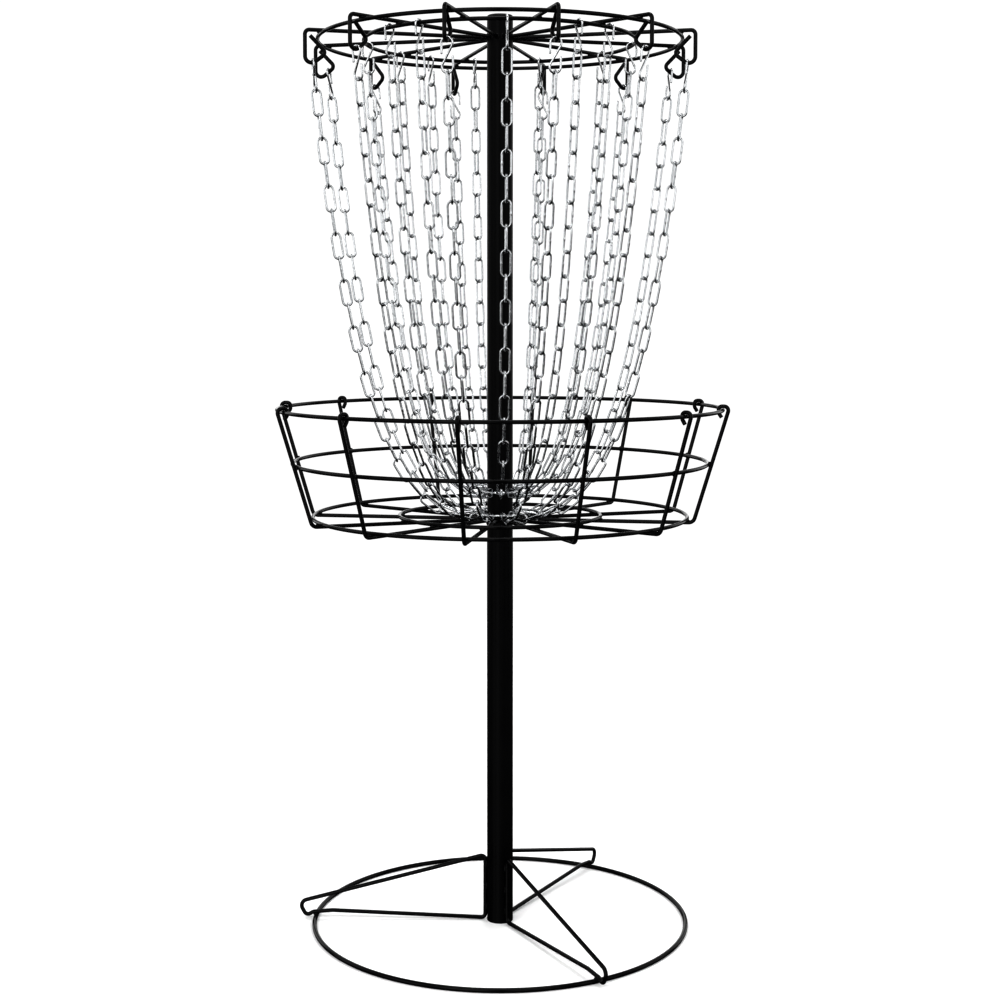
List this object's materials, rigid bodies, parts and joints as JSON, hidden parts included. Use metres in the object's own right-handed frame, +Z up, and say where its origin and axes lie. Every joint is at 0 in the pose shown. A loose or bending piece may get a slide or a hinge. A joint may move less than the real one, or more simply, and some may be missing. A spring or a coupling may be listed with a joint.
{
  "type": "disc golf basket",
  "caption": "Portable disc golf basket: wire base, sectional pole, round wire cage and a hooked wire rack with two tiers of hanging chains.",
  "frame": {"origin": "on the floor, on the pole's axis", "axes": "+Z up along the pole, -Y towards the front"},
  "size_m": [0.6582, 0.6582, 1.329],
  "materials": {
    "black_coated_wire": "satin black powder coat on steel wire",
    "black_coated_tube": "satin black powder coat on steel tube",
    "zinc_chain": "bright zinc plate",
    "black_plastic": "moulded black plastic"
  },
  "bodies": {
    "base": {"base_ring": "black_coated_wire", "base_leg_1": "black_coated_wire", "base_leg_2": "black_coated_wire", "base_leg_3": "black_coated_wire", "lower_pole": "black_coated_tube"},
    "cage": {"cage_tube": "black_coated_tube", "cage_rim_ring": "black_coated_wire", "cage_middle_ring": "black_coated_wire", "cage_bottom_ring": "black_coated_wire", "cage_floor_ring": "black_coated_wire", "cage_rib_01": "black_coated_wire", "cage_rib_02": "black_coated_wire", "cage_rib_03": "black_coated_wire", "cage_rib_04": "black_coated_wire", "cage_rib_05": "black_coated_wire", "cage_rib_06": "black_coated_wire", "cage_rib_07": "black_coated_wire", "cage_rib_08": "black_coated_wire", "cage_rib_09": "black_coated_wire", "cage_rib_10": "black_coated_wire", "cage_rib_11": "black_coated_wire", "cage_rib_12": "black_coated_wire"},
    "upper_pole": {"upper_pole": "black_coated_tube"},
    "chain_support": {"support_tube": "black_coated_tube", "support_outer_ring": "black_coated_wire", "support_inner_ring": "black_coated_wire", "support_arm_pair_1": "black_coated_wire", "support_arm_pair_2": "black_coated_wire", "support_arm_pair_3": "black_coated_wire", "support_arm_pair_4": "black_coated_wire", "support_arm_pair_5": "black_coated_wire", "support_arm_pair_6": "black_coated_wire", "pole_cap": "black_plastic", "upper_collector_ring": "zinc_chain", "lower_collector_ring": "zinc_chain", "collector_end_links": "zinc_chain"},
    "outer_chain_01": {"outer_chain_01": "zinc_chain"},
    "outer_chain_02": {"outer_chain_02": "zinc_chain"},
    "outer_chain_03": {"outer_chain_03": "zinc_chain"},
    "outer_chain_04": {"outer_chain_04": "zinc_chain"},
    "outer_chain_05": {"outer_chain_05": "zinc_chain"},
    "outer_chain_06": {"outer_chain_06": "zinc_chain"},
    "outer_chain_07": {"outer_chain_07": "zinc_chain"},
    "outer_chain_08": {"outer_chain_08": "zinc_chain"},
    "outer_chain_09": {"outer_chain_09": "zinc_chain"},
    "outer_chain_10": {"outer_chain_10": "zinc_chain"},
    "outer_chain_11": {"outer_chain_11": "zinc_chain"},
    "outer_chain_12": {"outer_chain_12": "zinc_chain"},
    "inner_chain_01": {"inner_chain_01": "zinc_chain"},
    "inner_chain_02": {"inner_chain_02": "zinc_chain"},
    "inner_chain_03": {"inner_chain_03": "zinc_chain"},
    "inner_chain_04": {"inner_chain_04": "zinc_chain"},
    "inner_chain_05": {"inner_chain_05": "zinc_chain"},
    "inner_chain_06": {"inner_chain_06": "zinc_chain"},
    "inner_chain_07": {"inner_chain_07": "zinc_chain"},
    "inner_chain_08": {"inner_chain_08": "zinc_chain"},
    "inner_chain_09": {"inner_chain_09": "zinc_chain"},
    "inner_chain_10": {"inner_chain_10": "zinc_chain"},
    "inner_chain_11": {"inner_chain_11": "zinc_chain"},
    "inner_chain_12": {"inner_chain_12": "zinc_chain"}
  },
  "joints": [
    {"name": "cage_lift", "type": "slide", "parent": "base", "child": "cage", "axis": [0, 0, 1], "range_m": [0, 0.08]},
    {"name": "upper_pole_lift", "type": "slide", "parent": "cage", "child": "upper_pole", "axis": [0, 0, 1], "range_m": [0, 0.08]},
    {"name": "chain_support_lift", "type": "slide", "parent": "upper_pole", "child": "chain_support", "axis": [0, 0, 1], "range_m": [0, 0.6]},
    {"name": "outer_chain_01_swing", "type": "hinge", "parent": "chain_support", "child": "outer_chain_01", "pos_m": [0.07234, -0.26264, 1.2539], "axis": [0.089, -0.3016, 0.9493], "range_deg": [-10, 10]},
    {"name": "outer_chain_02_swing", "type": "hinge", "parent": "chain_support", "child": "outer_chain_02", "pos_m": [0.19397, -0.19128, 1.2539], "axis": [0.2279, -0.2167, 0.9493], "range_deg": [-10, 10]},
    {"name": "outer_chain_03_swing", "type": "hinge", "parent": "chain_support", "child": "outer_chain_03", "pos_m": [0.26362, -0.06867, 1.2539], "axis": [0.3057, -0.0737, 0.9493], "range_deg": [-10, 10]},
    {"name": "outer_chain_04_swing", "type": "hinge", "parent": "chain_support", "child": "outer_chain_04", "pos_m": [0.25316, 0.06973, 1.26089], "axis": [0.2866, 0.0848, 0.9543], "range_deg": [-10, 10]},
    {"name": "outer_chain_05_swing", "type": "hinge", "parent": "chain_support", "child": "outer_chain_05", "pos_m": [0.19128, 0.19397, 1.2539], "axis": [0.2167, 0.2279, 0.9493], "range_deg": [-10, 10]},
    {"name": "outer_chain_06_swing", "type": "hinge", "parent": "chain_support", "child": "outer_chain_06", "pos_m": [0.06867, 0.26362, 1.2539], "axis": [0.0737, 0.3057, 0.9493], "range_deg": [-10, 10]},
    {"name": "outer_chain_07_swing", "type": "hinge", "parent": "chain_support", "child": "outer_chain_07", "pos_m": [-0.07234, 0.26264, 1.2539], "axis": [-0.089, 0.3016, 0.9493], "range_deg": [-10, 10]},
    {"name": "outer_chain_08_swing", "type": "hinge", "parent": "chain_support", "child": "outer_chain_08", "pos_m": [-0.19397, 0.19128, 1.2539], "axis": [-0.2279, 0.2167, 0.9493], "range_deg": [-10, 10]},
    {"name": "outer_chain_09_swing", "type": "hinge", "parent": "chain_support", "child": "outer_chain_09", "pos_m": [-0.25411, 0.06619, 1.26089], "axis": [-0.2906, 0.0699, 0.9543], "range_deg": [-10, 10]},
    {"name": "outer_chain_10_swing", "type": "hinge", "parent": "chain_support", "child": "outer_chain_10", "pos_m": [-0.26264, -0.07234, 1.2539], "axis": [-0.3016, -0.089, 0.9493], "range_deg": [-10, 10]},
    {"name": "outer_chain_11_swing", "type": "hinge", "parent": "chain_support", "child": "outer_chain_11", "pos_m": [-0.19128, -0.19397, 1.2539], "axis": [-0.2167, -0.2279, 0.9493], "range_deg": [-10, 10]},
    {"name": "outer_chain_12_swing", "type": "hinge", "parent": "chain_support", "child": "outer_chain_12", "pos_m": [-0.06867, -0.26362, 1.2539], "axis": [-0.0737, -0.3057, 0.9493], "range_deg": [-10, 10]},
    {"name": "inner_chain_01_swing", "type": "hinge", "parent": "chain_support", "child": "inner_chain_01", "pos_m": [0.00958, -0.19577, 1.2939], "axis": [0.0141, -0.2542, 0.9671], "range_deg": [-10, 10]},
    {"name": "inner_chain_02_swing", "type": "hinge", "parent": "chain_support", "child": "inner_chain_02", "pos_m": [0.10646, -0.16456, 1.2939], "axis": [0.1397, -0.2128, 0.9671], "range_deg": [-10, 10]},
    {"name": "inner_chain_03_swing", "type": "hinge", "parent": "chain_support", "child": "inner_chain_03", "pos_m": [0.14993, -0.12625, 1.2939], "axis": [0.1906, -0.1698, 0.9669], "range_deg": [-10, 10]},
    {"name": "inner_chain_04_swing", "type": "hinge", "parent": "chain_support", "child": "inner_chain_04", "pos_m": [0.19302, 0.03404, 1.2939], "axis": [0.25, 0.0507, 0.9669], "range_deg": [-10, 10]},
    {"name": "inner_chain_05_swing", "type": "hinge", "parent": "chain_support", "child": "inner_chain_05", "pos_m": [0.15445, 0.12067, 1.2939], "axis": [0.1977, 0.161, 0.967], "range_deg": [-10, 10]},
    {"name": "inner_chain_06_swing", "type": "hinge", "parent": "chain_support", "child": "inner_chain_06", "pos_m": [0.06187, 0.18598, 1.2939], "axis": [0.0734, 0.2446, 0.9669], "range_deg": [-10, 10]},
    {"name": "inner_chain_07_swing", "type": "hinge", "parent": "chain_support", "child": "inner_chain_07", "pos_m": [-0.03941, 0.192, 1.2939], "axis": [-0.0587, 0.2485, 0.9669], "range_deg": [-10, 10]},
    {"name": "inner_chain_08_swing", "type": "hinge", "parent": "chain_support", "child": "inner_chain_08", "pos_m": [-0.10675, 0.16438, 1.2939], "axis": [-0.1401, 0.2125, 0.9671], "range_deg": [-10, 10]},
    {"name": "inner_chain_09_swing", "type": "hinge", "parent": "chain_support", "child": "inner_chain_09", "pos_m": [-0.15146, 0.12441, 1.2939], "axis": [-0.1929, 0.167, 0.9669], "range_deg": [-10, 10]},
    {"name": "inner_chain_10_swing", "type": "hinge", "parent": "chain_support", "child": "inner_chain_10", "pos_m": [-0.19369, 0.02999, 1.2939], "axis": [-0.251, 0.0452, 0.9669], "range_deg": [-10, 10]},
    {"name": "inner_chain_11_swing", "type": "hinge", "parent": "chain_support", "child": "inner_chain_11", "pos_m": [-0.15167, -0.12414, 1.2939], "axis": [-0.1935, -0.1662, 0.9669], "range_deg": [-10, 10]},
    {"name": "inner_chain_12_swing", "type": "hinge", "parent": "chain_support", "child": "inner_chain_12", "pos_m": [-0.10932, -0.16268, 1.2939], "axis": [-0.1444, -0.2097, 0.967], "range_deg": [-10, 10]}
  ]
}
